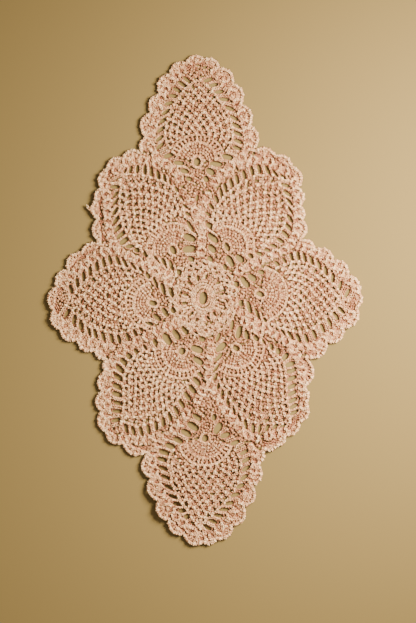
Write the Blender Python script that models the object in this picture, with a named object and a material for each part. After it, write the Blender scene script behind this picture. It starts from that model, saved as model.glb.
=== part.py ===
# Crochet tray cloth with a scalloped diamond outline, lying flat.
# Six pineapple motifs grow out of a round centre, and one more from the top and the bottom pair.
# Each pineapple is a fan of tall stitches round a hub hole, then a net of small loops,
# and a ladder of long gaps divides it from the stitch columns and the scalloped edging.

import math
from collections import namedtuple

import bmesh
import bpy
from mathutils import Vector
from mathutils.geometry import delaunay_2d_cdt

THREAD = 0.0008528  # metres across one worked thread, the unit of the charts below
REST_HEIGHT = 0.0  # the flat underside
NET_HEIGHT = 0.0019  # loops and the rim of every gap
RAISED_HEIGHT = 0.0023  # stitch columns, edging and net crossings
FAN_HEIGHT = 0.0026  # tall stitches packed side by side

SCALLOP_BULGE = 0.23  # height of a scallop for its width
SCALLOP_STEPS = ((0.12, 0.62), (0.33, 0.97), (0.67, 0.97), (0.88, 0.62))  # along, out
SLOT_SHAPE = ((1.0, 0.0), (0.45, 0.5), (-0.45, 0.5))  # half of a six-sided gap
ARCH_SHAPE = ((1.0, 0.1), (0.6, 0.48), (-0.2, 0.52), (-0.85, 0.3))  # half of an eight-sided gap
PATH_STEPS = 12  # points worked out between two chart stations

FAN_SPREAD = 78.0  # degrees to each side of the growth line
FAN_POSTS = 8  # ridges of the fan, the real stitches taken two at a time
FAN_RINGS = (8.0, 15.0)  # threads from the hub to the ends of the solid fan
SLIT_RING = 23.5  # threads from the hub to the slits between the spaced stitches
SLIT_STEPS = (-25.0, 0.0, 25.0)  # degrees from the growth line
SLIT_SIZE = (6.5, 1.9)
THREAD_BETWEEN = 1.8  # least width of the thread left between two gaps
LEAST_WIDTH = 2.2  # narrowest a leaning gap is drawn
NET_FIRST_ROW = 31.0  # threads from the hub
COLUMN_OFFSET = 9.5  # threads from a ladder gap out to the stitch column
EDGING_OFFSET = 15.5  # threads from a ladder gap out to the scallops
SPINE_OFFSET = 7.5  # threads from an inner gap to the column between two pineapples
NET_INSET = 7.0  # threads from a ladder gap in to the end of a net row
WIDE_GAP = 4.0  # threads, from here on a gap is drawn eight-sided
CLEAR_OF_GAP = 1.0  # threads left round the raised points
CLEAR_OF_EDGE = 2.2
CLEAR_OF_POINT = 3.4
FILL_INSIDE = 1  # keeps the faces inside the rims
MEET_WITHIN = 1e-6  # threads

Hub = namedtuple("Hub", "x y turn length width growth reach")
Station = namedtuple("Station", "x y turn kind gaps")
Side = namedtuple("Side", "pineapple notch net_from stations")
Gap = namedtuple("Gap", "x y turn length width")

# Length and width of a gap, in threads.
GAP_KINDS = {
    "arch": (13.0, 6.5),
    "wide": (10.5, 4.6),
    "slot": (9.6, 3.2),
    "slit": (6.4, 2.6),
    "eye": (6.4, 4.8),
}

# Place of each hub hole, its turn and size, the way its pineapple grows and how far the net runs.
HUBS = {
    "north": Hub(-7, 139, 90, 8, 6.5, 86, 80),
    "northeast": Hub(23, 54, 115, 9, 4.5, 49, 84),
    "east": Hub(56, 7, -20, 8, 5, -1, 85),
    "southeast": Hub(32, -47, -30, 7, 5, -52, 84),
    "south": Hub(1, -137, 70, 7, 6, -92, 84),
    "southwest": Hub(-22, -50, 60, 7, 6, -131, 90),
    "west": Hub(-51, -2, -10, 8, 5, 179, 80),
    "northwest": Hub(-31, 51, -60, 9, 5.5, 130, 82),
}

# One ladder of gaps down each side of a pineapple, from its hub past the notch to its tip.
# Gaps before the notch lie between two pineapples, later ones behind the edging.
# A station has its place, the turn of its gap in degrees, the kind of gap,
# and the gaps from it up to the next station.
SIDES = (
    Side("north", 4, 6, (
        (-15, 122, -20, "eye", 2), (-25, 138, -5, "wide", 2), (-44, 155, 38, "slot", 4),
        (-38, 189, 33, "slot", 3), (-27, 211, -27, "slot", 2), (-17, 221, -40, "slot", 1))),
    Side("north", 4, 6, (
        (2, 122, -60, "eye", 2), (12, 137, -5, "arch", 2), (33, 153, -20, "slot", 4),
        (30, 183, -30, "slot", 3), (15, 209, 8, "slot", 2), (4, 221, 18, "slot", 1))),
    Side("northeast", 9, 5, (
        (6, 42, -45, "eye", 2), (9, 63, -40, "arch", 2), (4, 87, -35, "slit", 3),
        (17, 108, -80, "slot", 2), (27, 118, -75, "slot", 4), (55, 132, -75, "slot", 3),
        (79, 124, -40, "slot", 1))),
    Side("northeast", 5, 5, (
        (21, 34, 100, "eye", 1), (26, 40, 120, "arch", 2), (47, 45, 150, "eye", 2),
        (63, 51, 170, "slit", 3), (81, 67, 135, "slot", 3), (86, 91, 120, "slot", 3),
        (81, 116, 160, "slot", 1))),
    Side("east", 6, 7, (
        (32, 17, -35, "eye", 1), (41, 19, -55, "arch", 2), (57, 29, -15, "eye", 3),
        (80, 41, -55, "slit", 2), (94, 45, -80, "slot", 3), (115, 36, -70, "slot", 4),
        (143, 8, -118, "slot", 1))),
    Side("east", 6, 7, (
        (37, -2, -85, "eye", 1), (45, -6, -75, "arch", 2), (61, -19, -60, "wide", 1),
        (67, -24, -45, "eye", 2), (79, -31, -55, "slot", 3), (102, -37, -70, "slot", 3),
        (125, -21, -65, "slot", 2), (137, -9, -45, "slot", 1))),
    Side("southeast", 6, 6, (
        (28, -24, 80, "slot", 1), (35, -31, 75, "arch", 2), (52, -37, 130, "eye", 3),
        (74, -50, 90, "eye", 2), (86, -63, 22, "wide", 4), (88, -92, 28, "slot", 3),
        (90, -111, 30, "slot", 1))),
    Side("southeast", 9, 5, (
        (14, -36, 65, "slot", 1), (17, -46, 40, "arch", 2), (12, -67, 52, "wide", 2),
        (14, -85, 75, "slit", 4), (35, -115, 105, "slot", 2), (49, -127, 92, "slot", 4),
        (79, -124, 30, "slit", 1))),
    Side("south", 4, 6, (
        (10, -116, 75, "eye", 1), (14, -127, 60, "arch", 1), (21, -134, 20, "wide", 2),
        (40, -151, 28, "slot", 3), (40, -176, 35, "slot", 3), (25, -202, 10, "slot", 4),
        (3, -226, -33, "slot", 1))),
    Side("south", 5, 7, (
        (-7, -116, -38, "wide", 1), (-11, -125, -33, "arch", 2), (-26, -139, -25, "wide", 2),
        (-40, -151, -15, "wide", 2), (-41, -167, -20, "slot", 3), (-31, -195, -20, "slot", 3),
        (-17, -215, 20, "eye", 2), (-4, -228, -50, "slit", 1))),
    Side("southwest", 8, 5, (
        (-2, -38, -10, "eye", 1), (-7, -48, -20, "arch", 2), (-5, -72, -50, "wide", 2),
        (-12, -88, -50, "wide", 3), (-28, -109, -62, "slot", 2), (-41, -121, -85, "slot", 3),
        (-63, -130, -75, "slot", 2), (-78, -127, -80, "slot", 1))),
    Side("southwest", 6, 5, (
        (-19, -29, -55, "wide", 2), (-37, -38, -58, "arch", 2), (-59, -46, -60, "slit", 2),
        (-75, -55, -40, "eye", 2), (-84, -68, -42, "wide", 3), (-87, -93, -18, "wide", 1),
        (-86, -102, -15, "slot", 2), (-88, -119, 15, "slot", 1))),
    Side("west", 7, 6, (
        (-31, -9, -55, "eye", 1), (-39, -11, -55, "wide", 2), (-55, -22, -25, "slot", 1),
        (-63, -28, -60, "slit", 3), (-85, -38, -76, "slot", 4), (-115, -30, -77, "slot", 1),
        (-123, -24, -90, "wide", 2), (-137, -12, -120, "slot", 1))),
    Side("west", 5, 6, (
        (-33, 9, -70, "wide", 1), (-41, 12, -72, "arch", 2), (-56, 25, -65, "wide", 1),
        (-63, 31, -50, "slit", 2), (-79, 38, -58, "slot", 2), (-94, 41, -75, "slot", 3),
        (-114, 30, -90, "slot", 3), (-133, 12, -75, "slot", 1))),
    Side("northwest", 5, 6, (
        (-25, 29, -60, "eye", 1), (-33, 36, -75, "wide", 2), (-49, 43, -50, "eye", 2),
        (-67, 51, -20, "eye", 2), (-80, 60, 35, "wide", 3), (-88, 81, 55, "slot", 3),
        (-88, 107, 50, "slot", 1), (-89, 114, 0, "slot", 1))),
    Side("northwest", 8, 5, (
        (-13, 42, -20, "eye", 1), (-15, 52, 10, "arch", 2), (-14, 75, -60, "arch", 1),
        (-16, 87, -25, "slit", 2), (-23, 103, -50, "slit", 2), (-34, 119, -75, "slot", 4),
        (-59, 131, -88, "slot", 3), (-79, 130, -110, "slit", 1), (-86, 123, -160, "slot", 1))),
)

# Inner corners of the scalloped edging, clockwise, one for each scallop.
EDGING = {
    "north": ((-64, 150), (-60, 164), (-55, 189), (-46, 207), (-35, 228), (-19, 239), (0, 243),
        (16, 234), (30, 218), (38, 197), (47, 176)),
    "northeast": ((50, 151), (72, 146), (89, 135), (96, 113), (97, 95), (99, 81)),
    "east": ((98, 62), (111, 53), (130, 42), (145, 27), (155, 11), (154, -7), (141, -28),
        (124, -42)),
    "southeast": ((103, -57), (101, -86), (103, -102), (96, -122), (82, -135), (73, -146)),
    "south": ((60, -149), (55, -163), (50, -185), (41, -206), (29, -225), (13, -239), (-1, -242),
        (-21, -234), (-37, -219), (-47, -199), (-55, -177)),
    "southwest": ((-58, -152), (-82, -143), (-99, -131), (-104, -110), (-104, -90), (-100, -70)),
    "west": ((-100, -59), (-110, -50), (-128, -40), (-145, -29), (-152, -9), (-149, 15), (-138, 32),
        (-123, 50)),
    "northwest": ((-104, 58), (-108, 82), (-110, 101), (-104, 113), (-98, 133), (-82, 144)),
}

CENTRE = Gap(-1, 3, 82, 12.5, 7.5)  # the ring the work starts from
CENTRE_RING = (19.0, 22.0, 12)  # half width, half length and count of the first ring of gaps
CENTRE_GAP = (5.6, 2.8)
# Half width, half length and count of each ring of raised points.
CENTRE_RIDGES = ((9.5, 12.0, 12), (14.0, 17.0, 12), (26.0, 28.5, 18), (33.0, 36.0, 20))
SPINE_GAP = Gap(-7, 103, 80, 7, 3)  # where the upper column parts round the top pineapple


def curve_through(points):
    """Short smooth paths, one from each point to the next."""
    ends = [points[0] * 2 - points[1]] + points + [points[-1] * 2 - points[-2]]
    paths = []
    for before, start, end, after in zip(ends, ends[1:], ends[2:], ends[3:]):
        path = []
        for step in range(PATH_STEPS + 1):
            t = step / PATH_STEPS
            pull = (end - before) * t + (before * 2 - start * 5 + end * 4 - after) * t * t
            pull += (start * 3 - before - end * 3 + after) * t ** 3
            path.append(start + pull / 2)
        paths.append(path)
    return paths


def at(values, place):
    """The value at a place from 0 to 1 along a list, between neighbours where need be."""
    index = min(int(place * (len(values) - 1)), len(values) - 2)
    share = place * (len(values) - 1) - index
    return values[index] * (1 - share) + values[index + 1] * share


def facing(degrees):
    """The direction at an angle from the x axis."""
    return Vector((math.cos(math.radians(degrees)), math.sin(math.radians(degrees))))


def kept_apart(gap, along, pitch):
    """The gap, made smaller where it would come within a thread of the next one."""
    lean = abs(facing(gap.turn).dot(along))
    across = math.sqrt(max(0.0, 1.0 - lean * lean))
    most_width = pitch * across - THREAD_BETWEEN
    if gap.width <= most_width:
        return gap
    if most_width >= LEAST_WIDTH:
        return gap._replace(width=most_width)
    share = (pitch - THREAD_BETWEEN) / math.hypot(gap.length * lean, gap.width * across)
    return gap._replace(length=gap.length * min(1, share), width=gap.width * min(1, share))


def ladder(side):
    """The gaps down one side of a pineapple, each with the way out from the net."""
    stations = [Station(*row) for row in side.stations]
    paths = curve_through([Vector((s.x, s.y)) for s in stations])
    spots = []
    for start, end, path in zip(stations, stations[1:], paths):
        for number in range(start.gaps):
            t = number / start.gaps
            turn = start.turn * (1 - t) + end.turn * t
            length, width = (a * (1 - t) + b * t
                             for a, b in zip(GAP_KINDS[start.kind], GAP_KINDS[end.kind]))
            spots.append(Gap(*at(path, t), turn, length, width))
    last = stations[-1]
    spots.append(Gap(last.x, last.y, last.turn, *GAP_KINDS[last.kind]))
    hub = HUBS[side.pineapple]
    middle = Vector((hub.x, hub.y)) + facing(hub.growth) * hub.reach / 2
    rungs = []
    for number, gap in enumerate(spots):
        here = Vector((gap.x, gap.y))
        before = spots[max(number - 1, 0)]
        after = spots[min(number + 1, len(spots) - 1)]
        along = (Vector((after.x, after.y)) - Vector((before.x, before.y))).normalized()
        pitch = min((Vector((other.x, other.y)) - here).length
                    for other in (before, after) if other is not gap)
        out = Vector((along.y, -along.x))
        if out.dot(here - middle) < 0:
            out = -out
        rungs.append((kept_apart(gap, along, pitch), out))
    return rungs


def fan_slits(hub):
    """The longest slits between the spaced stitches round a fan."""
    slits = []
    for step in SLIT_STEPS:
        spot = Vector((hub.x, hub.y)) + facing(hub.growth + step) * SLIT_RING
        slits.append(Gap(*spot, hub.growth + step, *SLIT_SIZE))
    return slits


def all_gaps(ladders):
    """Every gap that is cut through the cloth."""
    gaps = [CENTRE, SPINE_GAP]
    half_width, half_length, count = CENTRE_RING
    for number in range(count):
        angle = 2 * math.pi * (number + 0.5) / count
        x = CENTRE.x + half_width * math.cos(angle)
        y = CENTRE.y + half_length * math.sin(angle)
        gaps.append(Gap(x, y, math.degrees(angle), *CENTRE_GAP))
    for hub in HUBS.values():
        gaps.append(Gap(hub.x, hub.y, hub.turn, hub.length, hub.width))
        gaps.extend(fan_slits(hub))
    for rungs in ladders:
        gaps.extend(gap for gap, _ in rungs)
    return gaps


def gap_loop(gap):
    """The rim of a gap: six-sided where it is narrow, eight-sided where it is wide."""
    half = SLOT_SHAPE if gap.width < WIDE_GAP else ARCH_SHAPE
    long_way = facing(gap.turn) * gap.length / 2
    wide_way = facing(gap.turn + 90) * gap.width
    corners = [(a, b) for a, b in half] + [(-a, -b) for a, b in half]
    return [Vector((gap.x, gap.y)) + long_way * a + wide_way * b for a, b in corners]


def edge_loop():
    """The scalloped outline, anticlockwise."""
    corners = [Vector(corner) for run in EDGING.values() for corner in run]
    corners.reverse()
    loop = []
    for start, end in zip(corners, corners[1:] + corners[:1]):
        chord = end - start
        out = Vector((chord.y, -chord.x)) * SCALLOP_BULGE
        loop.append(start)
        loop.extend(start + chord * along + out * rise for along, rise in SCALLOP_STEPS)
    return loop


def fan_ridges(hub):
    """Raised points along the tall stitches of a fan."""
    points = []
    for ring, radius in enumerate(FAN_RINGS):
        for post in range(FAN_POSTS):
            way = facing(hub.growth + FAN_SPREAD * (2 * post / (FAN_POSTS - 1) - 1))
            height = FAN_HEIGHT if (post + ring) % 2 else RAISED_HEIGHT
            points.append((hub.x + radius * way.x, hub.y + radius * way.y, height))
    return points


def net_crossings(hub, first, second):
    """Raised points where the loops of a net cross, row by row from fan to tip."""
    rows = max(len(first), len(second)) - 1
    left = [Vector((gap.x, gap.y)) - out * NET_INSET for gap, out in first]
    right = [Vector((gap.x, gap.y)) - out * NET_INSET for gap, out in second]
    points = []
    for row in range(rows):
        t = row / rows
        start = at(left, t)
        end = at(right, t)
        reach = NET_FIRST_ROW + (hub.reach - NET_FIRST_ROW) * t
        middle = Vector((hub.x, hub.y)) + facing(hub.growth) * reach
        loops = max(2, rows - row)
        for number in range(loops + 1):
            s = number / loops
            spot = start.lerp(end, s)
            spot += (middle - start.lerp(end, 0.5)) * math.sin(math.pi * s)
            points.append((spot.x, spot.y, RAISED_HEIGHT))
    return points


def column_ridges(side, rungs):
    """Raised points along the stitch column and the edging beside a ladder."""
    points = []
    for number, (gap, out) in enumerate(rungs):
        spot = Vector((gap.x, gap.y))
        if number < side.notch:
            offsets = ((SPINE_OFFSET, RAISED_HEIGHT),)
        else:
            offsets = ((COLUMN_OFFSET, FAN_HEIGHT), (EDGING_OFFSET, RAISED_HEIGHT))
        for offset, height in offsets:
            place = spot + out * offset
            points.append((place.x, place.y, height))
    return points


def centre_ridges():
    """Raised points round the rings of the centre."""
    points = []
    for ring, (half_width, half_length, count) in enumerate(CENTRE_RIDGES):
        for number in range(count):
            angle = 2 * math.pi * (number + 0.5 * (ring % 2)) / count
            x = CENTRE.x + half_width * math.cos(angle)
            y = CENTRE.y + half_length * math.sin(angle)
            points.append((x, y, RAISED_HEIGHT))
    return points


def inside(point, loop):
    """Whether a point lies within a closed loop."""
    hit = False
    for a, b in zip(loop, loop[1:] + loop[:1]):
        if (a.y > point.y) != (b.y > point.y):
            if point.x < (b.x - a.x) * (point.y - a.y) / (b.y - a.y) + a.x:
                hit = not hit
    return hit


def clear_of(point, gap):
    """Whether a point stands off from a gap."""
    off = point - Vector((gap.x, gap.y))
    along = off.dot(facing(gap.turn)) / (gap.length / 2 + CLEAR_OF_GAP)
    across = off.dot(facing(gap.turn + 90)) / (gap.width / 2 + CLEAR_OF_GAP)
    return along * along + across * across > 1.0


def kept_points(candidates, gaps, edge):
    """The raised points that stand on stitches, clear of gaps, edge and one another."""
    kept = []
    for x, y, height in candidates:
        point = Vector((x, y))
        if not inside(point, edge):
            continue
        if min((corner - point).length for corner in edge) < CLEAR_OF_EDGE:
            continue
        if not all(clear_of(point, gap) for gap in gaps):
            continue
        if any((other - point).length < CLEAR_OF_POINT for other, _ in kept):
            continue
        kept.append((point, height))
    return kept


def plan_of_cloth():
    """Points, faces and heights of the cloth seen from above, with every gap left out."""
    ladders = [ladder(side) for side in SIDES]
    gaps = all_gaps(ladders)
    edge = edge_loop()
    raised = []
    for hub in HUBS.values():
        raised += fan_ridges(hub)
    for side, rungs in zip(SIDES, ladders):
        raised += column_ridges(side, rungs)
    raised += centre_ridges()
    for name, hub in HUBS.items():
        nets = [r[s.net_from:] for s, r in zip(SIDES, ladders) if s.pineapple == name]
        raised += net_crossings(hub, *nets)
    kept = kept_points(raised, gaps, edge)
    loops = [edge] + [gap_loop(gap) for gap in gaps]
    points = []
    rims = []
    for loop in loops:
        rims.append(list(range(len(points), len(points) + len(loop))))
        points.extend(loop)
    rim_count = len(points)
    points.extend(point for point, _ in kept)
    found = delaunay_2d_cdt(points, [], rims, FILL_INSIDE, MEET_WITHIN, True)
    flat, faces, sources, owners = found[0], found[2], found[3], found[5]
    solid_faces = [face for face, owner in zip(faces, owners) if owner == [0]]
    heights = []
    for source in sources:
        number = source[0]
        heights.append(NET_HEIGHT if number < rim_count else kept[number - rim_count][1])
    return flat, solid_faces, heights


def tray_cloth():
    """The whole cloth as one closed body standing on its flat underside."""
    flat, faces, heights = plan_of_cloth()
    work = bmesh.new()
    low = [work.verts.new((p.x * THREAD, p.y * THREAD, REST_HEIGHT)) for p in flat]
    for face in faces:
        work.faces.new([low[number] for number in face])
    lift = {(round(v.co.x, 7), round(v.co.y, 7)): height for v, height in zip(low, heights)}
    raised = bmesh.ops.extrude_face_region(work, geom=list(work.faces))
    for piece in raised["geom"]:
        if isinstance(piece, bmesh.types.BMVert):
            piece.co.z = lift[(round(piece.co.x, 7), round(piece.co.y, 7))]
    loose = [v for v in work.verts if not v.link_faces]
    bmesh.ops.delete(work, geom=loose, context="VERTS")
    bmesh.ops.recalc_face_normals(work, faces=list(work.faces))
    centre_on_origin(work)
    mesh = bpy.data.meshes.new("tray_cloth")
    work.to_mesh(mesh)
    work.free()
    cloth = bpy.data.objects.new("tray_cloth", mesh)
    bpy.context.scene.collection.objects.link(cloth)
    return cloth


def centre_on_origin(work):
    """Moves the work so that the middle of its box is over the origin."""
    xs = [v.co.x for v in work.verts]
    ys = [v.co.y for v in work.verts]
    shift = Vector(((min(xs) + max(xs)) / 2, (min(ys) + max(ys)) / 2, 0.0))
    bmesh.ops.translate(work, verts=list(work.verts), vec=-shift)


def crochet_cotton():
    """Matt pale peach cotton."""
    material = bpy.data.materials.new("crochet_cotton")
    material.use_nodes = True
    shader = material.node_tree.nodes["Principled BSDF"]
    shader.inputs["Base Color"].default_value = (0.72, 0.52, 0.38, 1.0)
    shader.inputs["Roughness"].default_value = 0.9
    shader.inputs["Metallic"].default_value = 0.0
    return material


for leftover in list(bpy.data.objects):
    bpy.data.objects.remove(leftover, do_unlink=True)
tray_cloth().data.materials.append(crochet_cotton())
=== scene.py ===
# Crochet tray cloth in peach cotton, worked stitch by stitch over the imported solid.
# The charts are in threads: one worked thread is 0.8528 mm, x to the right, y up the cloth.
import math

import bpy
import numpy as np
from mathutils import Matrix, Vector


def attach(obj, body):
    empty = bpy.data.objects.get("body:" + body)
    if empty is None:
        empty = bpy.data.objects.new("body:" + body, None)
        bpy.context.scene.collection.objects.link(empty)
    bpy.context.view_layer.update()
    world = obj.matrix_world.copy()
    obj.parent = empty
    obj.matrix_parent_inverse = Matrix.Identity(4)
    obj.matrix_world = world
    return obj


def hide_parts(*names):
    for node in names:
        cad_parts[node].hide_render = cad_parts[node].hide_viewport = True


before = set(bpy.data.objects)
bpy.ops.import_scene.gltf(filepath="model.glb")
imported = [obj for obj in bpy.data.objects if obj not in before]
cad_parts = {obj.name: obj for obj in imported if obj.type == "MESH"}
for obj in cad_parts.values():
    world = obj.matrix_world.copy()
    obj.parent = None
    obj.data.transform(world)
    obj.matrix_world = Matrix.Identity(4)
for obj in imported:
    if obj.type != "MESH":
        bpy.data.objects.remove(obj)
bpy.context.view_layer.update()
print("frame loaded")

cloth = {
    "node": "tray_cloth",
    "slot": "crochet_cotton",
    "thread": 0.0008528,  # metres
    "yarn": 0.8,  # radius of the cotton, in threads
    "yarnSides": 4,
    "step": 1.12,  # threads between two points along the cotton
    "underSteps": (1.6, 1.7),  # the same for rows that only show from below
    "endShare": 0.7,  # thickness of a cut end
    "middle": 1.65,  # height of the middle of the work, in threads
    "seed": 11,
}
rng = np.random.default_rng(cloth["seed"])

# how the hand shows in the work, in threads
hand = {
    "sway": 0.4,  # how far a row runs out of true
    "swayRuns": ((2.9, 7.1), (3.3, 6.3)),
    "bumps": 0.5,  # how far single stitches stand above or below their row
    "bumpRuns": ((1.3, 2.9), (1.2, 3.1)),
    "thick": (0.92, 1.08),  # uneven spinning of the cotton
}

# soft swell of the whole cloth, in threads
swell = {
    "base": 0.25,
    "long": (0.22, 19, 1.3, 23, 0.4),  # height, then run and start of the wave each way
    "short": (0.16, 8.5, 11),
    # places where the edge lifts a little: x, y, height, spread each way
    "lifts": ((-42, -200, 2.6, 20, 30), (-105, 95, 1.2, 14, 30), (-150, -10, 1.0, 16, 30)),
}

# length and width of each kind of gap
gapKinds = {
    "arch": (13.0, 6.9),
    "wide": (10.6, 5.0),
    "slot": (9.8, 3.6),
    "slit": (6.5, 2.8),
    "eye": (6.6, 5.0),
}
gapLimits = {"thread": 1.7, "leastWidth": 2.2, "leastThread": 1.8}  # where two gaps nearly meet

# hub hole of each pineapple: x, y, turn, length, width, way it grows, how far its net runs
hubs = {
    "north": (-7, 139, 90, 8, 6.5, 86, 80),
    "northeast": (23, 54, 115, 9, 4.5, 49, 84),
    "east": (56, 7, -20, 8, 5, -1, 85),
    "southeast": (32, -47, -30, 7, 5, -52, 84),
    "south": (1, -137, 70, 7, 6, -92, 84),
    "southwest": (-22, -50, 60, 7, 6, -131, 90),
    "west": (-51, -2, -10, 8, 5, 179, 80),
    "northwest": (-31, 51, -60, 9, 5.5, 130, 82),
}

# ladders of gaps: pineapple, then stations with
# x, y, turn, kind of gap, gaps up to the next station
sides = (
    ("north", (
        (-15, 122, -20, "eye", 2), (-25, 138, -5, "wide", 2), (-44, 155, 38, "slot", 4),
        (-38, 189, 33, "slot", 3), (-27, 211, -27, "slot", 2), (-17, 221, -40, "slot", 1))),
    ("north", (
        (2, 122, -60, "eye", 2), (12, 137, -5, "arch", 2), (33, 153, -20, "slot", 4),
        (30, 183, -30, "slot", 3), (15, 209, 8, "slot", 2), (4, 221, 18, "slot", 1))),
    ("northeast", (
        (6, 42, -45, "eye", 2), (9, 63, -40, "arch", 2), (4, 87, -35, "slit", 3),
        (17, 108, -80, "slot", 2), (27, 118, -75, "slot", 4), (55, 132, -75, "slot", 3),
        (79, 124, -40, "slot", 1))),
    ("northeast", (
        (21, 34, 100, "eye", 1), (26, 40, 120, "arch", 2), (47, 45, 150, "eye", 2),
        (63, 51, 170, "slit", 3), (81, 67, 135, "slot", 3), (86, 91, 120, "slot", 3),
        (81, 116, 160, "slot", 1))),
    ("east", (
        (32, 17, -35, "eye", 1), (41, 19, -55, "arch", 2), (57, 29, -15, "eye", 3),
        (80, 41, -55, "slit", 2), (94, 45, -80, "slot", 3), (115, 36, -70, "slot", 4),
        (143, 8, -118, "slot", 1))),
    ("east", (
        (37, -2, -85, "eye", 1), (45, -6, -75, "arch", 2), (61, -19, -60, "wide", 1),
        (67, -24, -45, "eye", 2), (79, -31, -55, "slot", 3), (102, -37, -70, "slot", 3),
        (125, -21, -65, "slot", 2), (137, -9, -45, "slot", 1))),
    ("southeast", (
        (28, -24, 80, "slot", 1), (35, -31, 75, "arch", 2), (52, -37, 130, "eye", 3),
        (74, -50, 90, "eye", 2), (86, -63, 22, "wide", 4), (88, -92, 28, "slot", 3),
        (90, -111, 30, "slot", 1))),
    ("southeast", (
        (14, -36, 65, "slot", 1), (17, -46, 40, "arch", 2), (12, -67, 52, "wide", 2),
        (14, -85, 75, "slit", 4), (35, -115, 105, "slot", 2), (49, -127, 92, "slot", 4),
        (79, -124, 30, "slit", 1))),
    ("south", (
        (10, -116, 75, "eye", 1), (14, -127, 60, "arch", 1), (21, -134, 20, "wide", 2),
        (40, -151, 28, "slot", 3), (40, -176, 35, "slot", 3), (25, -202, 10, "slot", 4),
        (3, -226, -33, "slot", 1))),
    ("south", (
        (-7, -116, -38, "wide", 1), (-11, -125, -33, "arch", 2), (-26, -139, -25, "wide", 2),
        (-40, -151, -15, "wide", 2), (-41, -167, -20, "slot", 3), (-31, -195, -20, "slot", 3),
        (-17, -215, 20, "eye", 2), (-4, -228, -50, "slit", 1))),
    ("southwest", (
        (-2, -38, -10, "eye", 1), (-7, -48, -20, "arch", 2), (-5, -72, -50, "wide", 2),
        (-12, -88, -50, "wide", 3), (-28, -109, -62, "slot", 2), (-41, -121, -85, "slot", 3),
        (-63, -130, -75, "slot", 2), (-78, -127, -80, "slot", 1))),
    ("southwest", (
        (-19, -29, -55, "wide", 2), (-37, -38, -58, "arch", 2), (-59, -46, -60, "slit", 2),
        (-75, -55, -40, "eye", 2), (-84, -68, -42, "wide", 3), (-87, -93, -18, "wide", 1),
        (-86, -102, -15, "slot", 2), (-88, -119, 15, "slot", 1))),
    ("west", (
        (-31, -9, -55, "eye", 1), (-39, -11, -55, "wide", 2), (-55, -22, -25, "slot", 1),
        (-63, -28, -60, "slit", 3), (-85, -38, -76, "slot", 4), (-115, -30, -77, "slot", 1),
        (-123, -24, -90, "wide", 2), (-137, -12, -120, "slot", 1))),
    ("west", (
        (-33, 9, -70, "wide", 1), (-41, 12, -72, "arch", 2), (-56, 25, -65, "wide", 1),
        (-63, 31, -50, "slit", 2), (-79, 38, -58, "slot", 2), (-94, 41, -75, "slot", 3),
        (-114, 30, -90, "slot", 3), (-133, 12, -75, "slot", 1))),
    ("northwest", (
        (-25, 29, -60, "eye", 1), (-33, 36, -75, "wide", 2), (-49, 43, -50, "eye", 2),
        (-67, 51, -20, "eye", 2), (-80, 60, 35, "wide", 3), (-88, 81, 55, "slot", 3),
        (-88, 107, 50, "slot", 1), (-89, 114, 0, "slot", 1))),
    ("northwest", (
        (-13, 42, -20, "eye", 1), (-15, 52, 10, "arch", 2), (-14, 75, -60, "arch", 1),
        (-16, 87, -25, "slit", 2), (-23, 103, -50, "slit", 2), (-34, 119, -75, "slot", 4),
        (-59, 131, -88, "slot", 3), (-79, 130, -110, "slit", 1), (-86, 123, -160, "slot", 1))),
)

# inner corners of the scallops, clockwise, a run for each pineapple
edging = {
    "north": ((-64, 150), (-60, 164), (-55, 189), (-46, 207), (-35, 228), (-19, 239), (0, 243),
              (16, 234), (30, 218), (38, 197), (47, 176)),
    "northeast": ((50, 151), (72, 146), (89, 135), (96, 113), (97, 95), (99, 81)),
    "east": ((98, 62), (111, 53), (130, 42), (145, 27), (155, 11), (154, -7), (141, -28),
             (124, -42)),
    "southeast": ((103, -57), (101, -86), (103, -102), (96, -122), (82, -135), (73, -146)),
    "south": ((60, -149), (55, -163), (50, -185), (41, -206), (29, -225), (13, -239), (-1, -242),
              (-21, -234), (-37, -219), (-47, -199), (-55, -177)),
    "southwest": ((-58, -152), (-82, -143), (-99, -131), (-104, -110), (-104, -90), (-100, -70)),
    "west": ((-100, -59), (-110, -50), (-128, -40), (-145, -29), (-152, -9), (-149, 15), (-138, 32),
             (-123, 50)),
    "northwest": ((-104, 58), (-108, 82), (-110, 101), (-104, 113), (-98, 133), (-82, 144)),
}

centre = {
    "at": -1 + 3j,
    "hole": (82, 12.5, 7.5),  # turn, length, width
    "gapRing": (19.0, 22.0, 12),  # half width, half length, count
    "gap": (5.6, 2.8),
    "gapSway": 0.1,  # how uneven the ring of gaps is
    "gapReach": (0.9, 1.06),
    "gapSizes": (0.8, 1.1),
    "tilt": 25,  # degrees
    "spineGap": (-7 + 103j, 80, 7, 3),
    "smallRings": ((24.8, 27.8, 17), (30.4, 33.6, 21)),  # rounds of small holes
    "smallHole": (3.8, 2.6),
    "smallSway": 0.2,
    "smallClear": 3.0,  # threads from the nearest gap
    "smallApart": 5.0,
}


def facing(degrees):
    return complex(math.cos(math.radians(degrees)), math.sin(math.radians(degrees)))


def pathThrough(points, steps=12):  # smooth path between stations
    ends = [2 * points[0] - points[1]] + list(points) + [2 * points[-1] - points[-2]]
    paths = []
    for before, start, end, after in zip(ends, ends[1:], ends[2:], ends[3:]):
        t = np.linspace(0, 1, steps + 1)
        pull = (end - before) * t + (2 * before - 5 * start + 4 * end - after) * t * t
        pull = pull + (3 * start - before - 3 * end + after) * t ** 3
        paths.append(start + pull / 2)
    return paths


def along(line, share):  # point at a share of a list of points
    spot = min(max(share, 0.0), 1.0) * (len(line) - 1)
    low = min(int(spot), len(line) - 2)
    return line[low] * (1 - (spot - low)) + line[low + 1] * (spot - low)


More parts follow.
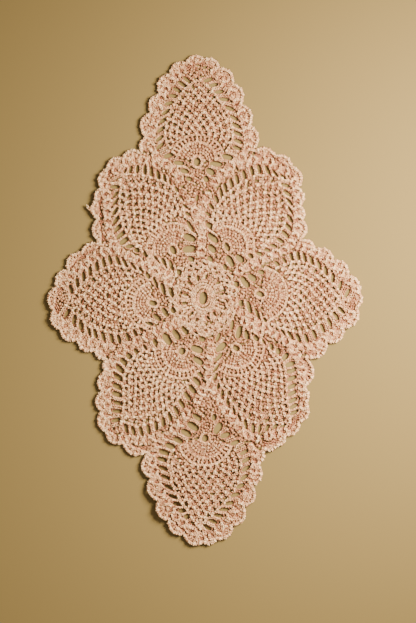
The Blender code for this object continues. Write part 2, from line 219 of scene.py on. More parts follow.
def spaced(line, step):  # even points along a line, and the run up to each
    line = np.asarray(line, complex)
    run = np.concatenate(([0.0], np.cumsum(np.abs(np.diff(line)))))
    count = max(3, int(round(run[-1] / step)) + 1)
    at = np.linspace(0.0, run[-1], count)
    return np.interp(at, run, line.real) + 1j * np.interp(at, run, line.imag), at


def keptApart(gap, ahead, pitch):  # a gap made smaller where it would meet the next one
    place, turn, length, width = gap
    way = facing(turn)
    lean = abs(way.real * ahead.real + way.imag * ahead.imag)
    across = math.sqrt(max(0.0, 1.0 - lean * lean))
    mostWidth = pitch * across - gapLimits["thread"]
    if width <= mostWidth:
        return gap
    if mostWidth >= gapLimits["leastWidth"]:
        return place, turn, length, mostWidth
    share = min(1.0, (pitch - gapLimits["leastThread"]) / math.hypot(length * lean, width * across))
    return place, turn, length * share, width * share


def ladderOf(side):
    pineapple, stations = side
    paths = pathThrough([complex(s[0], s[1]) for s in stations])
    spots = []
    for start, end, path in zip(stations, stations[1:], paths):
        for number in range(start[4]):
            t = number / start[4]
            size = [a * (1 - t) + b * t for a, b in zip(gapKinds[start[3]], gapKinds[end[3]])]
            spots.append((along(path, t), start[2] * (1 - t) + end[2] * t, *size))
    last = stations[-1]
    spots.append((complex(last[0], last[1]), last[2], *gapKinds[last[3]]))
    hub = hubs[pineapple]
    inside = complex(hub[0], hub[1]) + facing(hub[5]) * hub[6] / 2
    rungs = []
    for number, gap in enumerate(spots):
        before = spots[max(number - 1, 0)][0]
        after = spots[min(number + 1, len(spots) - 1)][0]
        ahead = (after - before) / abs(after - before)
        pitch = min(abs(other - gap[0]) for other in (before, after) if other != gap[0])
        out = -1j * ahead
        if ((gap[0] - inside) * out.conjugate()).real < 0:
            out = -out
        place, turn, length, width = keptApart(gap, ahead, pitch)
        way = facing(turn)
        if (way * out.conjugate()).real < 0:
            way = -way
        rungs.append({"at": place, "way": way, "half": length / 2, "wide": width / 2, "out": out})
    return rungs


ladders = [ladderOf(side) for side in sides]
hubAt = {name: complex(hub[0], hub[1]) for name, hub in hubs.items()}

gapList = [(g["at"], g["way"], g["half"], g["wide"]) for rungs in ladders for g in rungs]
turn, length, width = centre["hole"]
gapList.append((centre["at"], facing(turn), length / 2, width / 2))
place, turn, length, width = centre["spineGap"]
gapList.append((place, facing(turn), length / 2, width / 2))
half, tall, count = centre["gapRing"]
for number in range(count):
    angle = 2 * math.pi * (number + 0.5) / count
    angle += rng.uniform(-centre["gapSway"], centre["gapSway"])
    reach = rng.uniform(*centre["gapReach"])
    off = reach * complex(half * math.cos(angle), tall * math.sin(angle))
    way = facing(math.degrees(angle) + rng.uniform(-centre["tilt"], centre["tilt"]))
    size = rng.uniform(*centre["gapSizes"])
    gapList.append((centre["at"] + off, way, size * centre["gap"][0] / 2, size * centre["gap"][1] / 2))
for hub in hubs.values():
    gapList.append((complex(hub[0], hub[1]), facing(hub[2]), hub[3] / 2, hub[4] / 2))

# scalloped outline, anticlockwise, with the corner each scallop starts from
corners = [complex(*corner) for run in edging.values() for corner in run][::-1]
bow = {"bulge": 0.23, "steps": ((0.12, 0.62), (0.33, 0.97), (0.67, 0.97), (0.88, 0.62))}  # along, out
outline = []
for start, end in zip(corners, corners[1:] + corners[:1]):
    out = -1j * (end - start) * bow["bulge"]
    outline.append(start)
    outline += [start + (end - start) * t + out * reach for t, reach in bow["steps"]]
outline = np.array(outline)
chartMiddle = complex((outline.real.min() + outline.real.max()) / 2,
                      (outline.imag.min() + outline.imag.max()) / 2)

work = {name: [] for name in ("net", "bars", "fans", "columns", "edging", "centre", "joins")}
openings = {}


def setOpenings(rows):
    openings["at"] = np.array([row[0] for row in rows])
    openings["way"] = np.array([row[1] for row in rows])
    openings["half"] = np.array([row[2] for row in rows])
    openings["wide"] = np.array([row[3] for row in rows])


def nearness(points, margin):  # below 1 inside the nearest opening widened by the margin
    off = (points[:, None] - openings["at"][None]) * openings["way"].conj()[None]
    q = np.hypot(off.real / (openings["half"] + margin), off.imag / (openings["wide"] + margin))
    nearest = q.argmin(1)
    rows = np.arange(len(points))
    return q[rows, nearest], nearest, off[rows, nearest]


def keepClear(points, margin):  # points inside an opening move out to its rim
    points = np.array(points, complex)
    for _ in range(2):
        q, nearest, off = nearness(points, margin)
        moved = openings["at"][nearest] + off / np.maximum(q, 0.2) * openings["way"][nearest]
        points = np.where(q < 1, moved, points)
    return points


def rise(points):
    x, y = points.real, points.imag
    height, runX, startX, runY, startY = swell["long"]
    waves = height * np.sin(x / runX + startX) * np.sin(y / runY + startY)
    height, runX, runY = swell["short"]
    waves = waves + height * np.sin(x / runX - y / runY)
    lifts = sum(height * np.exp(-(((x - atX) / wide) ** 2 + ((y - atY) / tall) ** 2))
                for atX, atY, height, wide, tall in swell["lifts"])
    return swell["base"] + waves + lifts


def lay(part, line, height, yarn):
    x, y = line.real, line.imag
    (a, b), (c, d) = hand["bumpRuns"]
    bumps = hand["bumps"] * np.sin(x / a + y / b) * np.sin(y / c - x / d)
    height = np.asarray(height) + bumps + rise(line) + cloth["middle"]
    work[part].append((line, np.maximum(height, yarn * 0.9), yarn))


def wayOf(line):
    ahead = np.gradient(line)
    return ahead / np.maximum(np.abs(ahead), 1e-9)


def uneven(line):  # handwork never runs quite true
    x, y = line.real, line.imag
    (a, b), (c, d) = hand["swayRuns"]
    return line + hand["sway"] * np.sin(x / a + y / b) + 1j * hand["sway"] * np.sin(y / c - x / d + 1.0)


def plait(part, line, wide=1.25, deep=1.2, lift=0.0, pitch=7.2, margin=1.8):
    # a chain of loops seen from above: three strands that pass over and under
    line = uneven(spaced(line, cloth["step"])[0])
    line, run = spaced(keepClear(line, margin), cloth["step"])
    across = 1j * wayOf(line)
    start = rng.uniform(0, 2 * math.pi)
    lift += rng.normal(0, 0.12)
    yarn = cloth["yarn"] * rng.uniform(*hand["thick"])
    drop = 0.5 * (np.exp(-run / 0.9) + np.exp(-(run[-1] - run) / 0.9))
    for strand in range(3):
        turn = start + 2 * math.pi * (run / pitch + strand / 3)
        sway = wide * np.sin(turn) * rng.uniform(0.93, 1.07)
        lay(part, line + across * sway, lift - drop + deep * np.sin(2 * turn), yarn)


def chain(part, line, wide=0.9, deep=0.8, lift=0.0, pitch=5.2, margin=1.5, yarn=None, lean=0.3):
    # a row of small loops: two strands rise side by side, then cross low under the next loop
    yarn = yarn or cloth["yarn"]
    line = uneven(spaced(line, cloth["step"])[0])
    line, run = spaced(keepClear(line, margin), cloth["step"])
    across = 1j * wayOf(line)
    start = rng.uniform(0, 2 * math.pi)
    lift += rng.normal(0, 0.2)
    yarn *= rng.uniform(*hand["thick"])
    drop = 0.6 * (np.exp(-run / 0.8) + np.exp(-(run[-1] - run) / 0.8))
    for strand in range(2):
        turn = start + 2 * math.pi * (run / pitch + strand / 2)
        height = lift - drop - deep * np.cos(2 * turn) + lean * np.cos(turn)
        lay(part, line + across * wide * np.sin(turn), height, yarn)


def twist(part, start, end, wide=0.75, lift=0.0, pitch=4.6, margin=1.4):
    # the post of a tall stitch
    line = start + (end - start) * np.linspace(0, 1, 7)
    chain(part, line, wide, 0.7, lift, pitch, margin)


wrapShape = {"ends": 6, "perTurn": 2.4, "start": 0.6, "along": 1.3, "tall": 0.62}


def wrap(part, place, way, size=1.25, lift=0.25, turns=1.6):
    # a short stitch: the cotton goes once and a half round the row
    t = np.linspace(0, 1, wrapShape["ends"] + int(wrapShape["perTurn"] * turns))
    turn = 2 * math.pi * turns * t + rng.uniform(-wrapShape["start"], wrapShape["start"])
    line = place + way * (t - 0.5) * size * wrapShape["along"] + 1j * way * size * np.cos(turn)
    lay(part, line, lift + size * wrapShape["tall"] * np.sin(turn), cloth["yarn"])


def under(part, line, lift=-1.2, yarn=1.0, margin=1.3):
    # rows that pass below the posts and close the work from behind
    before, after = cloth["underSteps"]
    line, _ = spaced(keepClear(spaced(line, before)[0], margin), after)
    lay(part, line, lift, yarn)


def jitter(amount=0.25):
    return complex(rng.normal(0, amount), rng.normal(0, amount))


barShape = {
    "inward": 0.9,  # threads past the gap into the net
    "outward": 0.7,
    "doubleFrom": 6.2,  # from this much thread between two gaps there are two bars
    "broad": (1.35, 2.3),
    "strand": 0.9,  # share of the cotton's thickness taken off the sway
}

# bars of each ladder, from before its first gap to after its last one
for side, rungs in zip(sides, ladders):
    inner = [g["at"] - g["way"] * g["half"] for g in rungs]
    outer = [g["at"] + g["way"] * g["half"] for g in rungs]
    first, last = (rungs[1]["at"] - rungs[0]["at"]) / 2, (rungs[-1]["at"] - rungs[-2]["at"]) / 2
    inBars = [inner[0] - first] + [(a + b) / 2 for a, b in zip(inner, inner[1:])] + [inner[-1] + last]
    outBars = [outer[0] - first] + [(a + b) / 2 for a, b in zip(outer, outer[1:])] + [outer[-1] + last]
    ways = [g["out"] for g in rungs] + [rungs[-1]["out"]]
    for number in range(len(inBars)):
        bar = outBars[number] - inBars[number]
        bar /= abs(bar)
        inBars[number] -= bar * barShape["inward"]
        outBars[number] += bar * barShape["outward"]
    rungs[0]["inBars"], rungs[0]["outBars"], rungs[0]["ways"] = inBars, outBars, ways

column = {
    "offset": 4.7,  # threads from the end of a bar to its small hole
    "search": 18.0,  # how far beyond a bar the next gap is looked for
    "edgeFrom": 13,  # with more than this free, the edging lies beyond
    "apart": 6.5,
    "clear": 1.6,
    "hole": (3.8, 2.7),
    "farthest": 18,  # a shell reaches no further back than this
    "posts": (-0.96, -0.32, 0.32, 0.96),  # places across a shell
    "foot": (1.2, 1.3),  # along, and spread across
    "top": 0.9,
    "unders": (-0.6, 0.0, 0.6),
    "headBow": (1.7, 1.6),
    "head": {"wide": 1.0, "deep": 0.9, "lift": 0.4, "margin": 1.2},
}

# small holes of the stitch columns: one at each row, between the bars' ends and what lies beyond
setOpenings(gapList)
shells = []
for side, rungs in zip(sides, ladders):
    outBars, ways = rungs[0]["outBars"], rungs[0]["ways"]
    track = []
    for number, (place, out) in enumerate(zip(outBars, ways)):
        steps = np.arange(1.0, column["search"], 0.5)
        blocked = nearness(place + out * steps, 0.0)[0] < 1
        free = float(steps[blocked.argmax()]) if blocked.any() else column["search"]
        offset = column["offset"] if free > column["edgeFrom"] else free / 2
        track.append((place + out * offset, out, min(offset, column["offset"])))
    shells.append(track)
shellPlaces = []
smallHoles = []
for track in shells:
    for number, (place, out, half) in enumerate(track):
        ahead = track[min(number + 1, len(track) - 1)][0] - track[max(number - 1, 0)][0]
        ahead /= abs(ahead)
        free = all(abs(place - other) > column["apart"] for other in shellPlaces)
        clear = nearness(np.array([place]), column["clear"])[0][0] > 1
        track[number] = (place, out, half, ahead, free and clear)
        if free:
            shellPlaces.append(place)
        if free and clear:
            smallHoles.append((place, ahead, column["hole"][0] / 2, column["hole"][1] / 2))
for half, tall, count in centre["smallRings"]:
    for number in range(count):
        angle = 2 * math.pi * (number + rng.uniform(-centre["smallSway"], centre["smallSway"])) / count
        place = centre["at"] + half * math.cos(angle) + 1j * tall * math.sin(angle)
        clear = nearness(np.array([place]), centre["smallClear"])[0][0] > 1
        if clear and all(abs(place - hole[0]) > centre["smallApart"] for hole in smallHoles):
            way = facing(math.degrees(angle) + rng.uniform(-centre["tilt"], centre["tilt"]))
            smallHoles.append((place, way, centre["smallHole"][0] / 2, centre["smallHole"][1] / 2))
setOpenings(gapList + smallHoles)
print("plan laid out:", len(gapList), "gaps,", len(smallHoles), "small holes")

# nets: rows of loops, each row hooked into the tops of the row before
net = {
    "ring": 29.0,  # threads from the hub to the first row
    "firstBarReach": 27.0,  # bars nearer to the hub than this belong to the fan
    "rowPitch": 4.9,
    "pastTip": 4.0,
    "sway": 0.35,
    "loopRound": 2.2,
    "loopReach": 0.94,  # how far a loop reaches to the next row
    "hold": 1.8,  # thread that closes in on a hole from each side
    "hole": 1.2,
    "leastHole": 0.5,
    "chain": {"wide": 0.85, "deep": 1.0, "pitch": 6.4, "margin": 1.6, "yarn": 0.75, "lean": 0.45},
    "knot": {"size": 1.25, "lift": 0.5},
    "behind": {"lift": -2.0, "yarn": 0.9, "margin": 1.4},
}


def rowLine(start, end, top):  # a row bends over the fan and comes down to its bars
    t = np.linspace(0, math.pi, 49)
    middle = (start + end) / 2
    line, _ = spaced(middle - (end - start) / 2 * np.cos(t) + (top - middle) * np.sin(t), 0.8)
    return line


def alongRun(line, share):  # point at a share of a line's length
    line = np.array(line)
    run = np.concatenate(([0.0], np.cumsum(np.abs(np.diff(line))))) / np.abs(np.diff(line)).sum()
    share = min(max(share, 0.0), 1.0)
    return complex(np.interp(share, run, line.real), np.interp(share, run, line.imag))


def netNodes(name, hub):
    pair = [rungs[0] for side, rungs in zip(sides, ladders) if side[0] == name]
    grow = facing(hub[5])
    ends = []
    for bars in pair:
        reach = [abs(place - hubAt[name]) for place in bars["inBars"]]
        near = [k for k, far in enumerate(reach) if far <= net["firstBarReach"]]
        ends.append(bars["inBars"][near[-1] + 1 if near else 0:])
    rows = int(round((hub[6] - net["ring"]) / net["rowPitch"])) + 1
    nodes = []
    for row in range(rows + 1):
        t = min(row / (rows - 1), 1.0)
        extra = net["pastTip"] if row == rows else 0.0
        start, end = [alongRun(side, t) + grow * extra for side in ends]
        reach = net["ring"] + (hub[6] - net["ring"]) * t + extra
        line = rowLine(start, end, hubAt[name] + grow * reach)
        loops = max(rows - row, 0)
        shares = [k / loops for k in range(loops + 1)] if loops else [0.5]
        nodes.append([along(line, share) + jitter(net["sway"]) for share in shares])
    return nodes


netPlans = {name: netNodes(name, hub) for name, hub in hubs.items()}
netHoles = []
netRows = []
for nodes in netPlans.values():
    for row in range(len(nodes) - 1):
        netRows.append([])
        for k, (a, b) in enumerate(zip(nodes[row], nodes[row][1:])):
            peak = nodes[row + 1][k]
            below = nodes[row - 1][k + 1] if row else (a + b) / 2
            place = (a + b + peak + below) / 4
            tall = abs(peak - below) / 2 - net["hold"]
            broad = abs(b - a) / 2 - net["hold"]
            netRows[-1].append(place)
            if min(tall, broad) > net["leastHole"]:
                way = (peak - below) / abs(peak - below)
                netHoles.append((place, way, min(tall, net["hole"]), min(broad, net["hole"])))

packed = {"wide": 0.85, "lift": 0.3, "pitch": 4.0}  # short stitches side by side
fan = {
    "spread": 80,  # degrees to each side of the growth line
    "openSpread": 74,
    "closeRings": (5.4, 8.4, 11.4, 14.4, 17.4, 20.2),  # rounds of packed short stitches
    "shifts": (0.25, 0.75),  # each round is half a stitch on from the one before
    "stitch": 3.0,  # threads from one packed stitch to the next
    "short": 0.2,
    "tilts": (1.0, 1.2),  # degrees, packed and open
    "openPosts": 16,
    "closedPosts": 20,
    "closed": ("northeast", "northwest", "east"),
    "openRings": (20.2, 27.0),
    "ring": {"wide": 0.9, "deep": 1.0, "lift": -0.3, "margin": 1.4},
    "underRings": (7.5, 10.5, 13.0, 15.5, 18.0),
    "slitAt": 23.8,
    "slit": (2.6, 0.6),  # half length, half width
    "slitClear": 3.0,
    "slitLift": -1.6,
    "hubRim": 1.3,
    "hubRing": {"wide": 0.9, "deep": 0.9, "lift": -0.2, "margin": 1.7},
}

# slits between the open posts of each fan
slits = []
for name, hub in hubs.items():
    posts = 1 if name in fan["closed"] else fan["openPosts"]
    for post in range(posts - 1):
        turn = fan["openSpread"] * ((2 * post + 1) / (posts - 1) - 1)
        way = facing(hub[5] + turn)
        slits.append((hubAt[name] + way * fan["slitAt"], way, *fan["slit"]))
slits = [slit for slit in slits if nearness(np.array([slit[0]]), fan["slitClear"])[0][0] > 1]
setOpenings(gapList + smallHoles)
print("holes of the nets:", len(netHoles), "slits of the fans:", len(slits))

for name, nodes in netPlans.items():
    for row in range(len(nodes) - 1):
        line = []
        for k in range(len(nodes[row]) - 1):
            a, b, peak = nodes[row][k], nodes[row][k + 1], nodes[row + 1][k]
            u = np.linspace(0, 1, 9)[: 9 if k == len(nodes[row]) - 2 else 8]
            shape = 1 - np.abs(2 * u - 1) ** net["loopRound"]
            line.append(a + (b - a) * u + (peak - (a + b) / 2) * shape * net["loopReach"])
        chain("net", np.concatenate(line), **net["chain"])
        for k, place in enumerate(nodes[row]):
            around = nodes[row][min(k + 1, len(nodes[row]) - 1)] - nodes[row][max(k - 1, 0)]
            wrap("net", place, around / abs(around), **net["knot"])
for places in netRows:  # the row behind, seen deep in the holes, in the painted shade of the low work
    if len(places) > 1:
        under("net", places, **net["behind"])
setOpenings(gapList + smallHoles + slits)
print("nets worked:", len(work["net"]), "strands")

# bars of the ladders, each as broad as the thread left between its two gaps
for side, rungs in zip(sides, ladders):
    bars = rungs[0]
    free = []
    for a, b in zip(rungs, rungs[1:]):
        way = (a["way"] + b["way"]) / abs(a["way"] + b["way"])
        free.append(abs(((b["at"] - a["at"]) * way.conjugate()).imag) - a["wide"] - b["wide"])
    free = [free[0]] + free + [free[-1]]
    for number, (a, b) in enumerate(zip(bars["inBars"], bars["outBars"])):
        strands = 2 if free[number] > barShape["doubleFrom"] else 1
        broad = min(max(free[number] / strands / 2, barShape["broad"][0]), barShape["broad"][1])
        across = 1j * (b - a) / abs(b - a)
        for strand in range(strands):
            off = across * (strand - (strands - 1) / 2) * free[number] / 2
            middle = (a + b) / 2 + off + jitter(0.2)
            wide = broad - cloth["yarn"] * barShape["strand"]
            chain("bars", [a + off, middle, b + off], wide=wide, margin=broad)
print("bars worked:", len(work["bars"]), "strands")

# fans: five rounds of packed short stitches, then a round of tall ones with slits between them
for name, hub in hubs.items():
    grow = facing(hub[5])
    at = hubAt[name]
    for near, far in zip(fan["closeRings"], fan["closeRings"][1:]):
        posts = int(math.radians(fan["spread"]) * (near + far) / fan["stitch"])
        shift = fan["shifts"][0] if near in fan["closeRings"][::2] else fan["shifts"][1]
        for post in range(posts):
            turn = fan["spread"] * (2 * (post + shift) / posts - 1)
            way = grow * facing(turn + rng.normal(0, fan["tilts"][0]))
            twist("fans", at + way * near, at + way * (far - fan["short"]), **packed)
    posts = fan["closedPosts"] if name in fan["closed"] else fan["openPosts"]
    for post in range(posts):
        turn = fan["openSpread"] * (2 * post / (posts - 1) - 1)
        way = grow * facing(turn + rng.normal(0, fan["tilts"][1]))
        twist("fans", at + way * fan["openRings"][0], at + way * fan["openRings"][1])
    sweep = grow * np.array([facing(a) for a in np.linspace(-fan["spread"], fan["spread"], 40)])
    for radius in (fan["closeRings"][-1], fan["openRings"][1]):
        plait("fans", at + radius * sweep, **fan["ring"])
    for radius in fan["underRings"]:
        under("fans", at + radius * sweep)
    under("fans", at + fan["slitAt"] * sweep, lift=fan["slitLift"])
    turn = np.linspace(0, 2 * math.pi, 30)
    half, wide = hub[3] / 2 + fan["hubRim"], hub[4] / 2 + fan["hubRim"]
    ring = half * np.cos(turn) + 1j * wide * np.sin(turn)
    plait("fans", at + ring * facing(hub[2]), **fan["hubRing"])
print("fans worked:", len(work["fans"]), "strands")

# stitch columns: a shell of four tall stitches at each row, worked into the hole before
for track in shells:
    for before, here in zip(track, track[1:]):
        place, out, half, ahead, kept = here
        if not kept or abs(place - before[0]) > column["farthest"]:
            continue
        base = before[0]
        for offset in column["posts"]:
            foot = base + ahead * column["foot"][0] + out * offset * column["foot"][1]
            top = place - ahead * column["top"] + out * offset * half
            twist("columns", foot + jitter(0.15), top + jitter(0.2))
        for offset in column["unders"]:
            under("columns", [base + out * offset * before[2], place + out * offset * half])
        high, bend = column["headBow"]
        head = [place + out * half * s + ahead * (high - bend * s * s) for s in np.linspace(-1, 1, 7)]
        plait("columns", head, **column["head"])
print("columns worked:", len(work["columns"]), "strands")

# edging: a scallop of tall stitches from one base, and a chain along its rim
scallop = {
    "posts": 6,
    "fewPosts": 5,
    "fullChord": 16,  # a scallop narrower than this has the fewer posts
    "depth": 8.0,
    "height": 0.33,  # share of the chord
    "fullness": 0.7,
    "inset": 3.3,
    "baseWidth": 5.5,
    "short": 0.6,
    "postMargin": 0.9,
    "knobs": (0.14, 0.38, 0.62, 0.86),
    "knob": {"size": 1.7, "lift": 0.6, "turns": 2.1},
    "underDepths": (2.2, 4.6, 7.0),
    "rimParts": 16,  # worked in lengths, so that the strands change over
    "rim": {"wide": 0.95, "deep": 1.0, "lift": 0.3, "pitch": 6.4, "margin": 1.0},
}
rim = []
for start, end in zip(corners, corners[1:] + corners[:1]):
    chord = end - start
    out = -1j * chord / abs(chord)
    t = np.linspace(0, 1, 17)
    arch = scallop["height"] * abs(chord) * np.sin(math.pi * t) ** scallop["fullness"]
    arc = start + chord * t + out * (arch - scallop["inset"])
    rim.append(arc[:-1])
    base = (start + end) / 2 - out * (scallop["depth"] - bow["bulge"] * abs(chord))
    posts = scallop["posts"] if abs(chord) > scallop["fullChord"] else scallop["fewPosts"]
    for post in range(posts):
        s = (post + 0.5) / posts
        foot = base + chord / abs(chord) * (s - 0.5) * scallop["baseWidth"]
        foot = foot + jitter(0.15)
        top = along(arc, s) - out * scallop["short"] + jitter(0.2)
        twist("edging", foot, top, margin=scallop["postMargin"])
    for share in scallop["knobs"]:
        place = along(arc, share)
        way = (place - base) / abs(place - base)
        wrap("edging", place - way * 0.1, 1j * way, **scallop["knob"])
    for depth in scallop["underDepths"]:
        under("edging", arc[1:-1] - out * depth)
rim = np.concatenate(rim + [rim[0][:2]])
for part in range(scallop["rimParts"]):
    low = part * len(rim) // scallop["rimParts"]
    high = (part + 1) * len(rim) // scallop["rimParts"] + 2
    plait("edging", rim[low:high], **scallop["rim"])
print("edging worked:", len(work["edging"]), "strands")


# the round centre
def oval(half, tall, turn):
    return centre["at"] + half * np.cos(turn) + 1j * tall * np.sin(turn)


rounds = {
    "posts": ((12.8, 15.8), (16.8, 19.8), 34),
    "postSway": 0.25,
    "chains": ((8.6, 11.4), (11.4, 14.2)),
    "chain": {"wide": 1.0, "lift": 0.2},
    "loops": ((22.6, 25.8, 24), (26.6, 29.8, 28), (30.6, 33.8, 32)),
    "loopTall": 4.2,
    "loopRound": 0.6,
    "loopShift": 0.7,
    "loop": {"wide": 0.95, "deep": 0.9, "lift": 0.1, "pitch": 5.4},
    "betweenGaps": (16.2, 19.2, 22.8, 26.0),
    "betweenTurns": (-8.0, 0.0, 8.0),  # degrees
    "betweenSway": 0.7,
    "between": {"wide": 0.9, "lift": 0.1},
    "holeRim": 1.8,
    "holeRing": {"wide": 0.9, "deep": 0.8, "lift": -0.2, "margin": 1.6},
    "unders": ((8.4, 11.0), (11.2, 14.0), (28.8, 31.8)),
}
(x0, y0), (x1, y1), count = rounds["posts"]
for number in range(count):
    turn = 2 * math.pi * (number + rng.uniform(-rounds["postSway"], rounds["postSway"])) / count
    twist("centre", oval(x0, y0, turn), oval(x1, y1, turn), **packed)
x0, y0, x1, y1 = rounds["betweenGaps"]
for number in range(centre["gapRing"][2]):
    for part in rounds["betweenTurns"]:
        turn = 2 * math.pi * number / centre["gapRing"][2] + math.radians(part)
        foot = oval(x0, y0, turn) + jitter(rounds["betweenSway"])
        top = oval(x1, y1, turn) + jitter(rounds["betweenSway"])
        twist("centre", foot, top, **rounds["between"])
for half, tall in rounds["chains"]:
    chain("centre", oval(half, tall, np.linspace(0, 2 * math.pi, 80)), **rounds["chain"])
for number, (half, tall, count) in enumerate(rounds["loops"]):
    turn = np.linspace(0, 2 * math.pi, count * 8 + 1)
    wave = np.sin(count * turn / 2 + number * rounds["loopShift"])
    up = rounds["loopTall"] * np.abs(wave) ** rounds["loopRound"]
    chain("centre", oval(half + up, tall + up, turn), **rounds["loop"])
turn = np.linspace(0, 2 * math.pi, 40)
tilt, length, width = centre["hole"]
half, wide = length / 2 + rounds["holeRim"], width / 2 + rounds["holeRim"]
ring = half * np.cos(turn) + 1j * wide * np.sin(turn)
plait("centre", centre["at"] + ring * facing(tilt), **rounds["holeRing"])
for half, tall in rounds["unders"]:
    under("centre", oval(half, tall, np.linspace(0, 2 * math.pi, 60)))
print("centre worked:", len(work["centre"]), "strands")

gapRim = {"fullness": 0.8, "out": 0.7, "height": -1.0, "uneven": 0.3, "yarn": 0.85}
lowThread = {"past": 2.2, "sway": 0.2, "height": -1.3, "yarn": 1.15}
looseEnd = {"bends": (0.0, 2.2), "height": 0.6}


def squarish(half, wide, turn):  # an oval with fuller ends
    c, s = np.cos(turn), np.sin(turn)
    full = gapRim["fullness"]
    return half * np.sign(c) * np.abs(c) ** full + 1j * wide * np.sign(s) * np.abs(s) ** full


# the cotton is drawn round each gap, which leaves it an even oval
turn = np.linspace(0, 2 * math.pi, 25)
for place, way, half, wide in gapList:
    ring = squarish(half + gapRim["out"], wide + gapRim["out"], turn)
    height = gapRim["height"] + gapRim["uneven"] * rng.normal()
    lay("joins", spaced(place + ring * way, cloth["step"])[0], height, gapRim["yarn"])

# behind each small hole a low thread shows, in the painted shade of the low work
for place, way, half, wide in smallHoles:
    reach = 1j * way * (wide + lowThread["past"])
    line = place + reach * np.linspace(-1, 1, 4) + jitter(lowThread["sway"])
    lay("joins", line, lowThread["height"], lowThread["yarn"])

# end of the cotton, left loose at the upper left
for bend in looseEnd["bends"]:
    tail = [-110 + 87j, -113 + 90j + bend * 1j, -115.5 + 92j + bend, -117.5 + (94 + bend) * 1j]
    line = spaced(np.concatenate(pathThrough(tail)), cloth["step"])[0]
    lay("joins", line, looseEnd["height"], cloth["yarn"])

# whatever is still bare but not a hole gets a short stitch, lying low, so that the work is close
bare = {
    "grid": 0.5,  # threads from one looked at place to the next
    "around": 4,
    "reach": 0.8,
    "edge": 1.8,
    "gapMargin": 1.9,
    "holeMargin": 0.9,
    "apart": 2.2,
    "stitch": {"size": 1.25, "lift": -0.8},
}
cell = bare["grid"]
lowX, lowY = outline.real.min() - bare["around"], outline.imag.min() - bare["around"]
columnCount = int((outline.real.max() + bare["around"] - lowX) / cell)
rowCount = int((outline.imag.max() + bare["around"] - lowY) / cell)


def disc(radius):
    span = int(math.ceil(radius / cell))
    return [(i, j) for i in range(-span, span + 1) for j in range(-span, span + 1)
            if math.hypot(i, j) * cell <= radius]


def covered():
    grid = np.zeros((rowCount, columnCount), bool)
    for strands in work.values():
        for line, _, yarn in strands:
            x = ((line.real - lowX) / cell).astype(int)
            y = ((line.imag - lowY) / cell).astype(int)
            for i, j in disc(yarn + 0.1):
                grid[np.clip(y + i, 0, rowCount - 1), np.clip(x + j, 0, columnCount - 1)] = True
    return grid


def insideOutline(points):
    hit = np.zeros(len(points), bool)
    for a, b in zip(outline, np.roll(outline, -1)):
        if a.imag == b.imag:
            continue
        crosses = (a.imag > points.imag) != (b.imag > points.imag)
        meets = (b.real - a.real) * (points.imag - a.imag) / (b.imag - a.imag) + a.real
        hit ^= crosses & (points.real < meets)
    return hit


gridX, gridY = np.meshgrid(lowX + (np.arange(columnCount) + 0.5) * cell,
                           lowY + (np.arange(rowCount) + 0.5) * cell)
gridPoints = gridX + 1j * gridY
inCloth = insideOutline(gridPoints.ravel()).reshape(rowCount, columnCount)
inset = inCloth.copy()
for i, j in disc(bare["edge"]):
    inset &= np.roll(inCloth, (i, j), (0, 1))
taken = covered()
wideOpen = np.ones((rowCount, columnCount), bool)
for i, j in disc(bare["reach"]):
    wideOpen &= ~np.roll(taken, (i, j), (0, 1))
spots = gridPoints[wideOpen & inset]
setOpenings(gapList + smallHoles)
spots = spots[nearness(spots, bare["gapMargin"])[0] > 1]
setOpenings(netHoles + slits)
spots = spots[nearness(spots, bare["holeMargin"])[0] > 1]
filled = []
for place in spots[rng.permutation(len(spots))]:
    if not filled or np.abs(np.array(filled) - place).min() > bare["apart"]:
        filled.append(place)
        wrap("joins", place, facing(rng.uniform(0, 180)), **bare["stitch"])
print("bare places filled:", len(filled))

# soft crochet cotton, spun in three plies: matt, with a little sheen; its colour has painted shade low in
# the work and between the plies, and painted highlight on the raised turns
cotton = {
    "raised": "#ffe8c2",  # painted highlight on the raised turns
    "yarn": "#d8a87f",
    "paintedShade": "#74341a",  # painted shade deep in the work
    "shadeByHeight": (1.5, 4.0),  # heights in threads between painted shade and painted highlight
    "lower": (0.0, 0.45),  # share of that height over which the painted shade turns to the yarn colour
    "upper": (0.4, 0.95),  # and the yarn colour to the painted highlight
    "strandTone": 0.1,  # difference from strand to strand
    "paintedPlyShade": "#bd835f",  # painted shade in the grooves between the plies
    "plyPitch": 7.5,  # threads for one turn of a ply, drawn coarser than the real 2 mm so that it shows
    "plies": 3,
    "plyRidge": (-1.0, 0.5),
    "fading": 1.7e-3,  # metres between paler and deeper places of the cotton
    "fade": 1.7,
    "fadeRange": (0.35, 0.65),
    "leftLightPaint": 0.1,  # painted light: the cloth is drawn lighter towards the left and a little darker towards the right
    "leftLightPaintRun": (100, -0.7, 1.3),  # threads, and the least and most of it
    "fibre": 0.35e-3,  # metres, drawn coarser than real fibres so that they show
    "fibreNoise": (3.0, 0.7),  # detail, roughness
    "plyShare": 0.5,
    "bump": (0.8, 0.0003),  # strength, metres
    "shader": {"Roughness": 0.48, "IOR": 1.5, "Specular IOR Level": 0.5,
               "Sheen Weight": 0.25, "Sheen Roughness": 0.5},
}


# mesh of each piece from its strands
pieces = {
    "worked_net": ("net",),
    "worked_bars": ("bars",),
    "worked_fans": ("fans", "centre"),
    "worked_columns": ("columns",),
    "worked_edging": ("edging",),
    "worked_joins": ("joins",),
}


